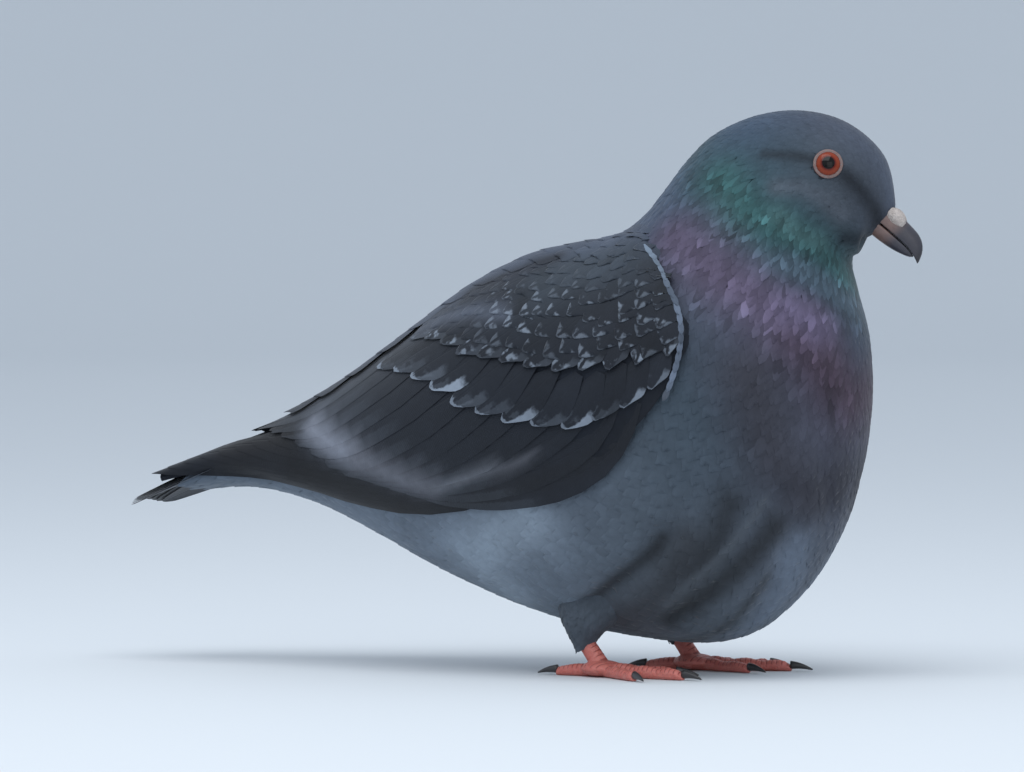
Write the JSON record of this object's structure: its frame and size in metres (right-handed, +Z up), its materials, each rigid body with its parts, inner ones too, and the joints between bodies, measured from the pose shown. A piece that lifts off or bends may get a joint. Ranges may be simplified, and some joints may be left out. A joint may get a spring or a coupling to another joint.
{
  "type": "pigeon",
  "caption": "A standing blue checker pigeon with folded wings, a short drawn-in neck and its head turned a little to its left.",
  "frame": {"origin": "on the floor under the soles, at the middle of the model's length and width", "axes": "+X the way the trunk faces, +Y the bird's left, +Z up"},
  "size_m": [0.2738, 0.1126, 0.1811],
  "materials": {
    "slate_plumage": "matt slate-grey head feathers",
    "neck_plumage": "green and mauve iridescent neck feathers",
    "grey_plumage": "soft blue-grey body feathers",
    "wing_plumage": "dark slate wing feathers with pale checks",
    "flight_plumage": "smooth blackish flight feathers",
    "tail_plumage": "dark grey tail feathers",
    "eye": "wet orange-red iris with a black pupil",
    "bill_horn": "blackish horn, a little worn",
    "cere": "chalky white swollen skin over the nostrils",
    "leg_skin": "coral-red scaled skin",
    "claw_horn": "black horn"
  },
  "bodies": {
    "root": {"bill_lower": "bill_horn", "bill_upper": "bill_horn", "cere": "cere", "claw_left_hind": "claw_horn", "claw_left_inner": "claw_horn", "claw_left_middle": "claw_horn", "claw_left_outer": "claw_horn", "claw_right_hind": "claw_horn", "claw_right_inner": "claw_horn", "claw_right_middle": "claw_horn", "claw_right_outer": "claw_horn", "eye_left": "eye", "eye_right": "eye", "foot_left": "leg_skin", "foot_right": "leg_skin", "head": "slate_plumage", "neck": "neck_plumage", "primaries_left": "flight_plumage", "primaries_right": "flight_plumage", "tail": "tail_plumage", "tarsus_left": "leg_skin", "tarsus_right": "leg_skin", "thigh_left": "grey_plumage", "thigh_right": "grey_plumage", "toe_left_hind": "leg_skin", "toe_left_inner": "leg_skin", "toe_left_middle": "leg_skin", "toe_left_outer": "leg_skin", "toe_right_hind": "leg_skin", "toe_right_inner": "leg_skin", "toe_right_middle": "leg_skin", "toe_right_outer": "leg_skin", "trunk": "grey_plumage", "wing_left": "wing_plumage", "wing_right": "wing_plumage"}
  },
  "joints": []
}
